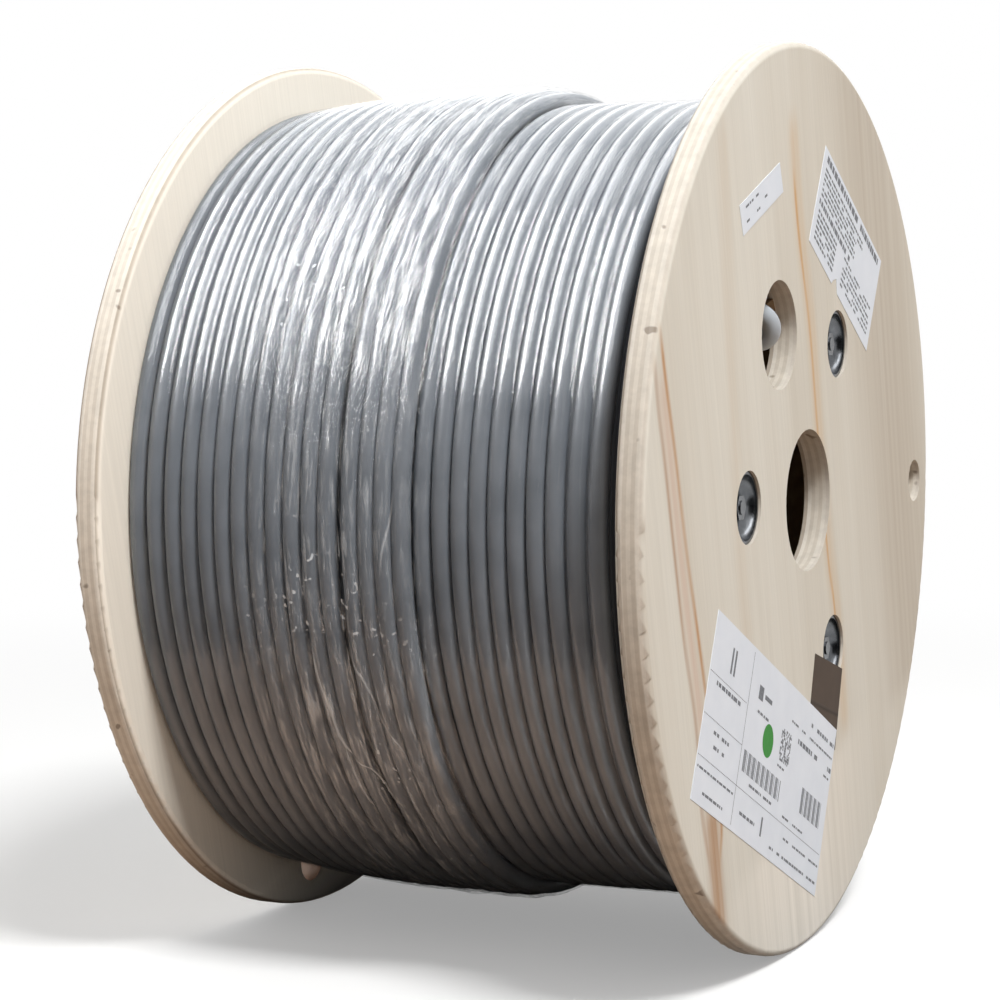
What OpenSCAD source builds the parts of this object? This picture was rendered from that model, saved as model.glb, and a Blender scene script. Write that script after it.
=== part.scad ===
// Wooden cable drum: two plywood flanges, a tube barrel, three tie bolts,
// wound with grey data cable under clear stretch film. Millimetres, +Z up.
// The drum stands on its rims, axis along X, the labelled flange toward +X.

/* [Flanges] */
// Flange diameter
flange_d = 400; // [300:1:600]
// Flange plywood thickness
flange_t = 12; // [9:0.5:18]
// Overall width over both flanges
drum_w = 252; // [180:1:400]
// Rounding of the rim edges
rim_round = 3; // [1:0.5:5]
// Arbor hole diameter
arbor_d = 63; // [40:1:90]
// Lead hole diameter, where the inner cable end comes out
lead_d = 47; // [20:1:60]
// Lead hole distance from the axis
lead_r = 84; // [60:1:110]
// Lead hole angle, from +Y toward +Z
lead_a = 120; // [0:1:360]
// Rim hole diameter
rim_hole_d = 21; // [8:1:25]
// Rim hole distance from the axis on the labelled flange
rim_hole_label_r = 175; // [140:1:185]
// Rim hole angle on the labelled flange
rim_hole_label_a = 0; // [-180:1:360]
// Rim hole distance from the axis on the far flange
rim_hole_far_r = 179; // [140:1:185]
// Rim hole angle on the far flange
rim_hole_far_a = 263; // [-180:1:360]

/* [Barrel] */
// Barrel tube outside diameter
barrel_d = 184; // [150:1:260]
// Barrel tube wall
barrel_wall = 6; // [3:0.5:12]
// Depth of the barrel groove in each flange
groove_depth = 3; // [1:0.5:5]

/* [Tie bolts] */
// Tie bolt circle radius
bolt_r = 80.5; // [60:0.5:100]
// Angle of the first tie bolt, from +Y toward +Z
bolt_a = 59; // [0:1:360]
// Tie bolt shank diameter
bolt_d = 6; // [5:1:10]
// Bolt hole diameter in the plywood
bolt_hole_d = 7; // [6:0.5:12]
// Hexagon across the flats
hex_af = 10; // [8:0.5:17]
// Nut height
nut_h = 4; // [3:0.5:8]
// Bolt head height
head_h = 4; // [3:0.5:6]
// Recess diameter for the cup washer
recess_d = 31; // [24:0.5:40]
// Recess depth
recess_depth = 8.6; // [5:0.2:9]
// Cup washer sheet thickness
cup_t = 1.4; // [1:0.1:2]
// Depth of the cup washer's lip below the face
cup_lip = 1.2; // [0.4:0.2:3]

/* [Cable] */
// Turns laid side by side between the flanges
turns = 28; // [16:1:40]
// Full layers of cable
layers = 12; // [6:1:18]
// Turns of the part layer on top, counted from the far flange
top_turns = 16; // [0:1:28]
// Turns that the last full layer lacks at the labelled flange
gap_turns = 1; // [0:1:3]
// Drop of the top layer toward the far flange
edge_sag = 6; // [0:0.5:8]
// Bend radius of the inner cable end where it turns over the barrel
loop_bend = 7.5; // [5:0.5:12]
// Angle of the inner cable end, from +Y toward +Z
loop_a = 117.5; // [0:0.5:360]
// Length of the inner cable end that is tucked into the barrel
loop_tail = 14; // [5:1:40]

/* [Film and labels] */
// Stretch film thickness
film_t = 0.25; // [0.05:0.05:0.5]
// Paper label thickness
paper_t = 0.2; // [0.1:0.05:0.5]
// Large label length
large_l = 177; // [100:1:220]
// Large label height
large_h = 78; // [50:1:120]
// Medium label length
medium_l = 102; // [60:1:140]
// Medium label height
medium_h = 49; // [30:1:70]
// Small label length
small_l = 55; // [30:1:80]
// Small label height
small_h = 13; // [8:1:25]
// Brown tape length
tape_l = 43; // [20:1:70]
// Brown tape height
tape_h = 38; // [20:1:60]

/* [Hidden] */
$fn = 96;
half_w = drum_w / 2;
inner_w = drum_w - 2 * flange_t;
half_in = inner_w / 2;
rim_r = flange_d / 2;
pitch = inner_w / turns;
cable_r = pitch / 2;
layer_rise = pitch * sqrt(3) / 2;
first_r = barrel_d / 2 + cable_r;
low_r = first_r + (layers - 1) * layer_rise;
high_r = low_r + layer_rise;
under_r = low_r - layer_rise;
high_x = [for (j = [0 : top_turns - 1]) -half_in + (j + 0.5) * pitch];
low_x = [for (j = [top_turns : turns - 1 - gap_turns]) -half_in + j * pitch];
sag_turns = 9;
high_c = [for (j = [0 : top_turns - 1])
  high_r - edge_sag * pow(max(0, 1 - (j + 0.5) / sag_turns), 2) - (j == top_turns - 1 ? 1.4 : 0)];
low_c = [for (j = [0 : turns - top_turns - 1 - gap_turns]) low_r - 0.1 * j];
fill = 0.2 * cable_r;
barrel_mid_r = (barrel_d - barrel_wall) / 2;
loop_r = barrel_mid_r - 2.7;
notch_w = 2 * cable_r + 1.2;
last_high = top_turns - 1;
last_low = turns - top_turns - 1 - gap_turns;
film_gap = 0.05;
bolt_angles = [bolt_a, bolt_a + 120, bolt_a + 240];
hex_r = hex_af / sqrt(3);
cup_rim_r = recess_d / 2 - 0.2;
cup_bend_r = recess_depth - cup_lip;
cup_flat_r = cup_rim_r - cup_bend_r;
cup_floor = recess_depth - cup_t;
bolt_end = cup_floor - nut_h - 0.6;

ply = [0.86, 0.80, 0.70];
tube = [0.62, 0.50, 0.36];
zinc = [0.52, 0.53, 0.55];
jacket = [0.45, 0.46, 0.47];
clear_film = [0.80, 0.84, 0.88, 0.3];
paper = [0.93, 0.93, 0.92];
tape_brown = [0.42, 0.34, 0.27];

// Drum axis along X at the height of the rims
module on_rims() {
  translate([0, 0, rim_r]) rotate([0, 90, 0]) children();
}

// Place at a radius and an angle on the drum, angle from +Y toward +Z
module at(r, a) {
  rotate([0, 0, a + 90]) translate([r, 0, 0]) children();
}

// Outline of a turned plywood disc with both rim edges rounded
module disc_outline() {
  square([rim_r - rim_round, flange_t]);
  translate([0, rim_round]) square([rim_r, flange_t - 2 * rim_round]);
  translate([rim_r - rim_round, rim_round]) circle(r = rim_round);
  translate([rim_r - rim_round, flange_t - rim_round]) circle(r = rim_round);
}

// One flange with its inner face at zero and its outer face at flange_t
module flange(rim_hole, rim_a) {
  difference() {
    rotate_extrude() intersection() {
      disc_outline();
      square([rim_r + 1, flange_t + 1]);
    }
    translate([0, 0, -1]) cylinder(d = arbor_d, h = flange_t + 2);
    at(lead_r, lead_a) translate([0, 0, -1]) cylinder(d = lead_d, h = flange_t + 2);
    at(rim_hole, rim_a) translate([0, 0, -1]) cylinder(d = rim_hole_d, h = flange_t + 2);
    for (a = bolt_angles) {
      at(bolt_r, a) translate([0, 0, -1]) cylinder(d = bolt_hole_d, h = flange_t + 2);
      at(bolt_r, a) translate([0, 0, flange_t - recess_depth]) cylinder(d = recess_d, h = recess_depth + 1);
    }
    difference() {
      translate([0, 0, -1]) cylinder(d = barrel_d, h = groove_depth + 1);
      translate([0, 0, -2]) cylinder(d = barrel_d - 2 * barrel_wall, h = groove_depth + 3);
    }
  }
}

module flange_label_side() {
  color(ply) on_rims() translate([0, 0, half_in]) flange(rim_hole_label_r, rim_hole_label_a);
}

// The far flange is the same disc turned to face the other way
module flange_far_side() {
  color(ply) on_rims() mirror([0, 0, 1]) translate([0, 0, half_in]) flange(rim_hole_far_r, rim_hole_far_a);
}

// Tube held in the grooves of both flanges, notched where the inner cable end passes
module barrel() {
  color(tube) on_rims() difference() {
    translate([0, 0, -half_in - groove_depth]) cylinder(d = barrel_d, h = inner_w + 2 * groove_depth);
    translate([0, 0, -half_in - groove_depth - 1])
      cylinder(d = barrel_d - 2 * barrel_wall, h = inner_w + 2 * groove_depth + 2);
    at(barrel_mid_r, loop_a) translate([-barrel_wall, -notch_w / 2, half_in - 0.6])
      cube([2 * barrel_wall, notch_w, groove_depth + 2]);
  }
}

// Hexagon-head bolt, its head in the far cup and its end in the nut
module tie_bolt(a) {
  color(zinc) on_rims() at(bolt_r, a) {
    translate([0, 0, -half_w + cup_floor]) cylinder(d = bolt_d, h = drum_w - cup_floor - bolt_end);
    translate([0, 0, -half_w + cup_floor - head_h]) cylinder(r = hex_r, h = head_h, $fn = 6);
  }
}

module tie_bolt_a() { tie_bolt(bolt_angles[0]); }
module tie_bolt_b() { tie_bolt(bolt_angles[1]); }
module tie_bolt_c() { tie_bolt(bolt_angles[2]); }

// Hexagon nut in the cup on the labelled side
module nut(a) {
  color(zinc) on_rims() at(bolt_r, a) translate([0, 0, half_w - cup_floor]) difference() {
    cylinder(r = hex_r, h = nut_h, $fn = 6);
    translate([0, 0, -1]) cylinder(d = bolt_d, h = nut_h + 2);
  }
}

module nut_a() { nut(bolt_angles[0]); }
module nut_b() { nut(bolt_angles[1]); }
module nut_c() { nut(bolt_angles[2]); }

// Dished steel washer dropped into the recess, a flat floor and a wall
// bent up to the lip, its mouth toward the outer face at zero
module cup() {
  rotate_extrude() union() {
    translate([bolt_d / 2 + 0.2, -recess_depth]) square([cup_flat_r - bolt_d / 2 - 0.2, cup_t]);
    intersection() {
      translate([cup_flat_r, -cup_lip]) difference() {
        circle(r = cup_bend_r);
        circle(r = cup_bend_r - cup_t);
      }
      translate([cup_flat_r - 0.01, -recess_depth - 1]) square([20, cup_bend_r + 1]);
    }
  }
}

module cup_label(a) {
  color(zinc) on_rims() at(bolt_r, a) translate([0, 0, half_w]) cup();
}

module cup_far(a) {
  color(zinc) on_rims() mirror([0, 0, 1]) at(bolt_r, a) translate([0, 0, half_w]) cup();
}

module cup_label_a() { cup_label(bolt_angles[0]); }
module cup_label_b() { cup_label(bolt_angles[1]); }
module cup_label_c() { cup_label(bolt_angles[2]); }
module cup_far_a() { cup_far(bolt_angles[0]); }
module cup_far_b() { cup_far(bolt_angles[1]); }
module cup_far_c() { cup_far(bolt_angles[2]); }

// Section of the wound cable: nested layers show as turns on both ends,
// the outermost layer stops part of the way across and drops at the far flange,
// and the layer under it lacks a turn at the labelled flange
module winding_section() {
  polygon(concat(
    [[barrel_d / 2, half_in - cable_r + fill], [barrel_d / 2, -half_in + cable_r - fill]],
    [[high_c[0] + fill, -half_in + cable_r - fill]],
    [for (j = [1 : last_high]) [high_c[j] + fill, high_x[j]]],
    [for (j = [0 : last_low]) [low_c[j] + fill, low_x[j]]],
    [[under_r + fill, low_x[last_low] + cable_r], [under_r + fill, half_in - cable_r + fill]]
  ));
  for (k = [0 : 2 : layers - 2]) {
    translate([first_r + k * layer_rise, -half_in + cable_r]) circle(r = cable_r);
    translate([first_r + k * layer_rise, half_in - cable_r]) circle(r = cable_r);
  }
  for (j = [0 : last_high]) translate([high_c[j], high_x[j]]) circle(r = cable_r);
  for (j = [0 : last_low]) translate([low_c[j], low_x[j]]) circle(r = cable_r);
  for (j = [1 : 1 : gap_turns]) translate([under_r, half_in - cable_r - j * pitch]) circle(r = cable_r);
}

module cable_winding() {
  color(jacket) on_rims() rotate_extrude() winding_section();
}

// Inner cable end: it leaves the winding, turns over the end of the barrel in the
// lead hole and is tucked back into the hollow
module cable_inner_end() {
  color(jacket) on_rims() at(loop_r, loop_a) translate([0, 0, half_in]) {
    intersection() {
      rotate([90, 0, 0]) rotate_extrude() translate([loop_bend, 0]) circle(r = cable_r);
      translate([-30, -30, 0]) cube([60, 60, flange_t]);
    }
    translate([-loop_bend, 0, -loop_tail]) cylinder(r = cable_r, h = loop_tail);
  }
}

// Crests of the turns that the film lies on, from the far flange to the near one
film_line = concat(
  [[high_c[0], -half_in]],
  [for (j = [0 : last_high - 1]) [high_c[j], high_x[j]]],
  [[high_c[last_high], high_x[last_high] + 0.7]],
  [for (j = [1 : last_low]) [low_c[j], low_x[j] + (j == 1 ? 3 : 0)]],
  [[low_c[last_low], low_x[last_low] + cable_r]]
);

// Clear film wrapped around the whole winding
module stretch_film() {
  lift = cable_r + film_gap;
  color(clear_film) on_rims() rotate_extrude() polygon(concat(
    [for (i = [0 : len(film_line) - 1]) film_line[i] + [lift, 0]],
    [for (i = [len(film_line) - 1 : -1 : 0]) film_line[i] + [lift + film_t, 0]]
  ));
}

// Flat sheet on the labelled face: middle at y, z from the axis, turned by a
module sheet(y, z, a, l, h) {
  translate([-z, y, half_w]) rotate([0, 0, a + 90]) translate([-l / 2, -h / 2, 0])
    cube([l, h, paper_t]);
}

// Space over the large label, where the tape stops
module large_label_clear() {
  translate([108.7, -52, half_w - 1]) rotate([0, 0, -24 + 90]) translate([-large_l / 2, -large_h / 2, 0])
    cube([large_l, large_h, 2]);
}

module label_large() {
  color(paper) on_rims() sheet(-52, -108.7, -24, large_l, large_h);
}

// The lower edge of the medium label is torn a little left of its middle
module label_medium() {
  color(paper) on_rims() difference() {
    sheet(54, 111.6, -28.5, medium_l, medium_h);
    translate([-111.6, 54, half_w - 1]) rotate([0, 0, -28.5 + 90]) translate([-medium_l / 2, -medium_h / 2, 0])
      linear_extrude(2) polygon([[37, -1], [39.5, 2.6], [43.5, 5.6], [45.5, 3], [48.5, -1]]);
  }
}

module label_small() {
  color(paper) on_rims() sheet(-67, 129.2, 22.2, small_l, small_h);
}

// Tape tucked against the large label, over the edge of one recess
module brown_tape() {
  color(tape_brown) on_rims() difference() {
    sheet(26.8, -93.8, -16, tape_l, tape_h);
    large_label_clear();
  }
}

flange_label_side();
flange_far_side();
barrel();
tie_bolt_a();
tie_bolt_b();
tie_bolt_c();
nut_a();
nut_b();
nut_c();
cup_label_a();
cup_label_b();
cup_label_c();
cup_far_a();
cup_far_b();
cup_far_c();
cable_winding();
cable_inner_end();
stretch_film();
label_large();
label_medium();
label_small();
brown_tape();
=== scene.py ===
import math
import random

import bpy
from mathutils import Matrix, Vector, noise


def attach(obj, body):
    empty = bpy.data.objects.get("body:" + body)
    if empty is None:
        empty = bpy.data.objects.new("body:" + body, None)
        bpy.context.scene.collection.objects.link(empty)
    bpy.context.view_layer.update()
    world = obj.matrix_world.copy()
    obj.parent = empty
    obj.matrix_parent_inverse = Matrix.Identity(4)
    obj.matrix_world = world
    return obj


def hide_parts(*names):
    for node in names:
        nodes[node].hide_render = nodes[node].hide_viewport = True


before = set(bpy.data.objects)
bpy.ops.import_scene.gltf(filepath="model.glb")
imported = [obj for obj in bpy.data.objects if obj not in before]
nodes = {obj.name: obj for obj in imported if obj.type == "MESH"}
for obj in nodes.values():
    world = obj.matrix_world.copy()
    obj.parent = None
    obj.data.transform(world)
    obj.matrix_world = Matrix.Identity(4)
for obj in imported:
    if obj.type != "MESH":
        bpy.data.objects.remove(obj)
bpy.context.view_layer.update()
bpy.ops.object.select_all(action="DESELECT")

# Flanges
# Two discs of raw softwood plywood, sawn round, sanded at the rim and drilled.
# Pale veneer faces with upright grain; the plies show on the rims and in the holes.


def paint(code):
    """A colour written as an sRGB hex code, as linear red, green, blue and alpha."""
    parts = [int(code[i:i + 2], 16) / 255 for i in (1, 3, 5)]
    return [p / 12.92 if p <= 0.04045 else ((p + 0.055) / 1.055) ** 2.4 for p in parts] + [1.0]


def add_node(tree, kind, inputs=None, **settings):
    """Adds a node with its settings; an input is a value, or the socket that feeds it."""
    node = tree.nodes.new(kind)
    for name, value in settings.items():
        setattr(node, name, value)
    for key, value in (inputs or {}).items():
        if isinstance(value, bpy.types.NodeSocket):
            tree.links.new(value, node.inputs[key])
        else:
            node.inputs[key].default_value = value
    return node


def new_finish(name):
    """A material with its node tree and its main shader."""
    material = bpy.data.materials.new(name)
    material.use_nodes = True
    return material, material.node_tree, material.node_tree.nodes["Principled BSDF"]


def wear(piece, material):
    """Gives a piece one material all over."""
    piece.data.materials.clear()
    piece.data.materials.append(material)


def stroke(tree, along, across, reach, line, width, strength, span, fade, full=1.0):
    """Strength of a line drawn through given places. Along and across are sockets, reach is how far
    the two run to either side, line lists places along and across, and it fades at the ends of its
    span."""
    far, wide = reach
    place = add_node(tree, "ShaderNodeMapRange", {
        "Value": along, "From Min": -far, "From Max": far})
    path = add_node(tree, "ShaderNodeFloatCurve", {"Value": place.outputs[0]})
    curve = path.mapping.curves[0]
    spots = [((v / far + 1) / 2, (u / wide + 1) / 2) for v, u in line]
    curve.points[0].location, curve.points[1].location = spots[0], spots[-1]
    for spot in spots[1:-1]:
        curve.points.new(*spot)
    path.mapping.update()
    centre = add_node(tree, "ShaderNodeMapRange", {
        "Value": path.outputs[0], "To Min": -wide, "To Max": wide})
    away = add_node(tree, "ShaderNodeMath", {0: across, 1: centre.outputs[0]}, operation="SUBTRACT")
    away = add_node(tree, "ShaderNodeMath", {0: away.outputs[0]}, operation="ABSOLUTE")
    mark = add_node(tree, "ShaderNodeMapRange", {
        "Value": away.outputs[0], "From Min": 0.0, "From Max": width,
        "To Min": strength, "To Max": 0.0},
        interpolation_type="SMOOTHSTEP")
    for end, inward in zip(span, (fade, -fade)):
        ending = add_node(tree, "ShaderNodeMapRange", {
            "Value": along, "From Min": end, "From Max": end + inward, "To Max": full},
            interpolation_type="SMOOTHSTEP")
        mark = add_node(tree, "ShaderNodeMath", {
            0: mark.outputs[0], 1: ending.outputs[0]}, operation="MULTIPLY")
    return mark.outputs[0]


FLANGE_RADIUS = 200.0
INNER_FACE = 114.0
PLIES = 7
PLY = 12.0 / PLIES

plywood, tree, shader = new_finish("raw_softwood_plywood")
place = add_node(tree, "ShaderNodeTexCoord")
in_mm = add_node(tree, "ShaderNodeMapping", {
    "Vector": place.outputs["Object"], "Scale": (1000, 1000, 1000),
    "Location": (0, 0, -FLANGE_RADIUS)})
along_grain = add_node(tree, "ShaderNodeMapping", {
    "Vector": in_mm.outputs[0], "Rotation": (math.radians(-15), 0, 0)})
axes = add_node(tree, "ShaderNodeSeparateXYZ", {0: along_grain.outputs[0]})
# Broad bands of early and late wood, about 45 mm wide and half a metre long
bands = add_node(tree, "ShaderNodeMapping", {
    "Vector": along_grain.outputs[0], "Scale": (0.02, 0.022, 0.0021)})
bands = add_node(tree, "ShaderNodeTexNoise", {
    "Vector": bands.outputs[0], "Scale": 1.0, "Detail": 3.0})
tone = add_node(tree, "ShaderNodeValToRGB", {0: bands.outputs["Fac"]})
tone.color_ramp.elements[0].position = 0.3
tone.color_ramp.elements[0].color = paint("#CCC6B9")
tone.color_ramp.elements[1].position = 0.68
tone.color_ramp.elements[1].color = paint("#DAD7CD")
# Fine grain lines, about 1.5 mm apart
lines = add_node(tree, "ShaderNodeMapping", {
    "Vector": along_grain.outputs[0], "Scale": (0.3, 0.65, 0.011)})
lines = add_node(tree, "ShaderNodeTexNoise", {
    "Vector": lines.outputs[0], "Scale": 1.0, "Detail": 3.0})
grain = add_node(tree, "ShaderNodeMapRange", {
    "Value": lines.outputs["Fac"], "From Min": 0.3, "From Max": 0.7,
    "To Min": 0.965, "To Max": 1.025})
face = add_node(tree, "ShaderNodeMix", {
    "Factor": 1.0, 6: tone.outputs[0], 7: grain.outputs[0]},
    data_type="RGBA", blend_type="MULTIPLY")
# Resin streaks: one thin orange line and a pair of reddish lines with a tinted strip between
waver = add_node(tree, "ShaderNodeTexNoise", {
    "Vector": lines.inputs["Vector"].links[0].from_socket, "Scale": 0.35, "Detail": 2.0})
labelled = add_node(tree, "ShaderNodeMapRange", {
    "Value": axes.outputs["X"], "From Min": -1.0, "From Max": 1.0})
waver = add_node(tree, "ShaderNodeMath", {
    0: waver.outputs["Fac"], 1: labelled.outputs[0]}, operation="MULTIPLY")
# Each line lists heights and places across, in mm from the axis; a streak has its colour,
# half width, strength and span of heights
orange = [
    (-200, 23), (-155, 25.5), (-115, 25.3), (-62, 25.6), (-36, 21.8),
    (29, 19.6), (76, 19), (124, 13.5), (164, 14.6), (200, 18)]
left = [
    (-200, -155), (-108, -156.7), (-76, -160.5), (-43, -158.4), (-4, -162.2),
    (31, -163.9), (71, -165.4), (97, -166.7), (130, -163)]
right = [
    (-200, -150), (-113, -147.5), (-91, -140.5), (-26, -145.3), (8, -149.2),
    (26, -151.1), (67, -153.7), (110, -157.2), (135, -157)]
between = [
    (-200, -152), (-110, -152), (-84, -151), (-26, -153.3), (8, -156.5),
    (67, -159.5), (110, -161), (135, -160)]
streaks = [
    ("#B4A99A", 75.0, 0.5, (-150, 200), [(-200, 150), (0, 135), (200, 120)]),
    ("#EFEAE0", 130.0, 0.8, (-230, -118), [(-200, -45), (200, -45)]),
    ("#C6B39A", 12.0, 0.25, (-60, 190), [(-200, -70), (-20, -92), (80, -84), (200, -70)]),
    ("#CDB596", 12.0, 0.5, (-130, 175), [(v, u + 2.5) for v, u in orange]),
    ("#C8A070", 2.6, 0.75, (-85, 150), orange),
    ("#CDB7A6", 8.0, 0.65, (-60, 110), between),
    ("#AE8D6F", 12.0, 0.8, (-165, -70), between),
    ("#B39A84", 3.0, 0.75, (-112, 118), left),
    ("#B9936F", 3.0, 0.8, (-112, 125), right),
]
for colour, width, strength, span, line in streaks:
    mark = stroke(tree, axes.outputs["Z"], axes.outputs["Y"], (FLANGE_RADIUS, FLANGE_RADIUS),
                  line, width, strength, span, 18.0, 1.4)
    mark = add_node(tree, "ShaderNodeMath", {0: mark, 1: waver.outputs[0]}, operation="MULTIPLY")
    face = add_node(tree, "ShaderNodeMix", {
        "Factor": mark.outputs[0], 6: face.outputs[2], 7: paint(colour)}, data_type="RGBA")
# Painted light: the far flange is painted paler, for the brighter light on its inner face, and has no
# streaks
far_face_painted_light = add_node(tree, "ShaderNodeMix", {
    "Factor": 1.0, 6: paint("#F0E9DC"), 7: grain.outputs[0]},
    data_type="RGBA", blend_type="MULTIPLY")
face = add_node(tree, "ShaderNodeMix", {
    "Factor": labelled.outputs[0], 6: far_face_painted_light.outputs[2], 7: face.outputs[2]}, data_type="RGBA")
# Painted shade: the inner side of the far sheet is painted near black in its lowest 40 mm, for the
# contact shade under the drum
painted_contact_shade = add_node(tree, "ShaderNodeMapRange", {
    "Value": axes.outputs["Z"], "From Min": -160.0, "From Max": -192.0, "To Max": 0.9})
inner = add_node(tree, "ShaderNodeMapRange", {
    "Value": axes.outputs["X"], "From Min": -115.5, "From Max": -114.5})
far_inside = add_node(tree, "ShaderNodeMath", {
    0: inner.outputs[0], 1: labelled.outputs[0]}, operation="SUBTRACT")
painted_contact_shade = add_node(tree, "ShaderNodeMath", {
    0: painted_contact_shade.outputs[0], 1: far_inside.outputs[0]}, operation="MULTIPLY")
face = add_node(tree, "ShaderNodeMix", {
    "Factor": painted_contact_shade.outputs[0], 6: face.outputs[2], 7: paint("#2A211B")}, data_type="RGBA")
# Seven plies across the thickness, every other one cut across its grain
depth = add_node(tree, "ShaderNodeMath", {0: axes.outputs["X"]}, operation="ABSOLUTE")
depth = add_node(tree, "ShaderNodeMath", {0: depth.outputs[0], 1: INNER_FACE}, operation="SUBTRACT")
layer = add_node(tree, "ShaderNodeMath", {0: depth.outputs[0], 1: PLIES * PLY}, operation="DIVIDE")
plies = add_node(tree, "ShaderNodeValToRGB", {0: layer.outputs[0]})
plies.color_ramp.interpolation = "CONSTANT"
ply_tones = ("#B4A99B", "#DCD5C9", "#CFC6B8", "#DBD3C6", "#D0C7B9", "#DCD5C9", "#D5CDC1")
for k, colour in enumerate(ply_tones):
    stop = plies.color_ramp.elements[0] if k == 0 else plies.color_ramp.elements.new(k / PLIES)
    stop.color = paint(colour)
fibres = add_node(tree, "ShaderNodeTexNoise", {
    "Vector": in_mm.outputs[0], "Scale": 0.16, "Detail": 4.0, "Roughness": 0.65})
blotch = add_node(tree, "ShaderNodeMapRange", {
    "Value": fibres.outputs["Fac"], "From Min": 0.32, "From Max": 0.62,
    "To Min": 0.88, "To Max": 1.03})
plies = add_node(tree, "ShaderNodeMix", {
    "Factor": 1.0, 6: plies.outputs[0], 7: blotch.outputs[0]},
    data_type="RGBA", blend_type="MULTIPLY")
# Painted light and shade on the rims: the labelled rim is painted darker at mid height and lighter
# low down, and the far rim lighter all over
painted_rim_light = add_node(tree, "ShaderNodeMapRange", {
    "Value": axes.outputs["Z"], "From Min": -20.0, "From Max": -170.0,
    "To Min": 0.87, "To Max": 1.12})
shade = add_node(tree, "ShaderNodeMix", {
    "Factor": labelled.outputs[0], 2: 1.09, 3: painted_rim_light.outputs[0]})
plies = add_node(tree, "ShaderNodeMix", {
    "Factor": 1.0, 6: plies.outputs[2], 7: shade.outputs[0]},
    data_type="RGBA", blend_type="MULTIPLY")
# The outer ply of the far flange is browner
brown_ply = add_node(tree, "ShaderNodeMapRange", {
    "Value": axes.outputs["X"], "From Min": -124.1, "From Max": -124.5, "To Max": 0.75})
plies = add_node(tree, "ShaderNodeMix", {
    "Factor": brown_ply.outputs[0], 6: plies.outputs[2], 7: paint("#A08A74")}, data_type="RGBA")
# Painted shade: both rims are painted browner low down, most of all the far rim, for the shade and
# brown floor bounce there
low_down = add_node(tree, "ShaderNodeMapRange", {
    "Value": axes.outputs["Z"], "From Min": -60.0, "From Max": -195.0, "To Max": 0.6})
painted_low_shade = add_node(tree, "ShaderNodeMapRange", {
    "Value": axes.outputs["X"], "From Min": 1.0, "From Max": -1.0, "To Min": 0.05, "To Max": 1.0})
painted_low_shade = add_node(tree, "ShaderNodeMath", {
    0: painted_low_shade.outputs[0], 1: low_down.outputs[0]}, operation="MULTIPLY")
plies = add_node(tree, "ShaderNodeMix", {
    "Factor": painted_low_shade.outputs[0], 6: plies.outputs[2], 7: paint("#7E6049")}, data_type="RGBA")
# Small open voids in the core plies, 1 to 3 mm long
voids = add_node(tree, "ShaderNodeTexNoise", {
    "Vector": in_mm.outputs[0], "Scale": 0.17, "Detail": 0.0})
void_mark = add_node(tree, "ShaderNodeMapRange", {
    "Value": voids.outputs["Fac"], "From Min": 0.79, "From Max": 0.84,
    "To Min": 0.0, "To Max": 0.6})
plies = add_node(tree, "ShaderNodeMix", {
    "Factor": void_mark.outputs[0], 6: plies.outputs[2], 7: paint("#5A4632")}, data_type="RGBA")
# Painted shade: the wall of the far flange's rim hole is painted dark brown, for the shade inside it
flat_place = add_node(tree, "ShaderNodeMapping", {"Vector": in_mm.outputs[0], "Scale": (0, 1, 1)})
from_hole = add_node(tree, "ShaderNodeVectorMath", {
    0: flat_place.outputs[0], 1: (0, -21.8, -177.7)}, operation="DISTANCE")
painted_hole_shade = add_node(tree, "ShaderNodeMapRange", {
    "Value": from_hole.outputs["Value"], "From Min": 12.0, "From Max": 11.0, "To Max": 0.85})
painted_hole_shade = add_node(tree, "ShaderNodeMix", {
    "Factor": labelled.outputs[0], 2: painted_hole_shade.outputs[0], 3: 0.0})
plies = add_node(tree, "ShaderNodeMix", {
    "Factor": painted_hole_shade.outputs[0], 6: plies.outputs[2], 7: paint("#77502F")}, data_type="RGBA")
turned = add_node(tree, "ShaderNodeSeparateXYZ", {0: place.outputs["Normal"]})
facing = add_node(tree, "ShaderNodeMath", {0: turned.outputs["X"]}, operation="ABSOLUTE")
facing = add_node(tree, "ShaderNodeMapRange", {
    "Value": facing.outputs[0], "From Min": 0.3, "From Max": 0.5})
# The face veneer ends on the rounded rim, 1 mm inside its widest line
from_axis = add_node(tree, "ShaderNodeVectorMath", {0: flat_place.outputs[0]}, operation="LENGTH")
on_face = add_node(tree, "ShaderNodeMapRange", {
    "Value": from_axis.outputs["Value"], "From Min": 199.3, "From Max": 198.3})
facing = add_node(tree, "ShaderNodeMath", {
    0: facing.outputs[0], 1: on_face.outputs[0]}, operation="MULTIPLY")
skin = add_node(tree, "ShaderNodeMix", {
    "Factor": facing.outputs[0], 6: plies.outputs[2], 7: face.outputs[2]}, data_type="RGBA")
relief = add_node(tree, "ShaderNodeMix", {
    "Factor": facing.outputs[0], 2: fibres.outputs["Fac"], 3: lines.outputs["Fac"]})
bump = add_node(tree, "ShaderNodeBump", {
    "Height": relief.outputs[0], "Strength": 0.25, "Distance": 0.0004})
tree.links.new(skin.outputs[2], shader.inputs["Base Color"])
tree.links.new(bump.outputs[0], shader.inputs["Normal"])
shader.inputs["Roughness"].default_value = 0.62
shader.inputs["Specular IOR Level"].default_value = 0.12
for name in ("flange_label_side", "flange_far_side"):
    wear(nodes[name], plywood)

# Barrel
# A tube of wound board between the flanges, let into a groove in each.
# It is hidden by the cable; only its dark hollow shows through the arbor hole.


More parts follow.
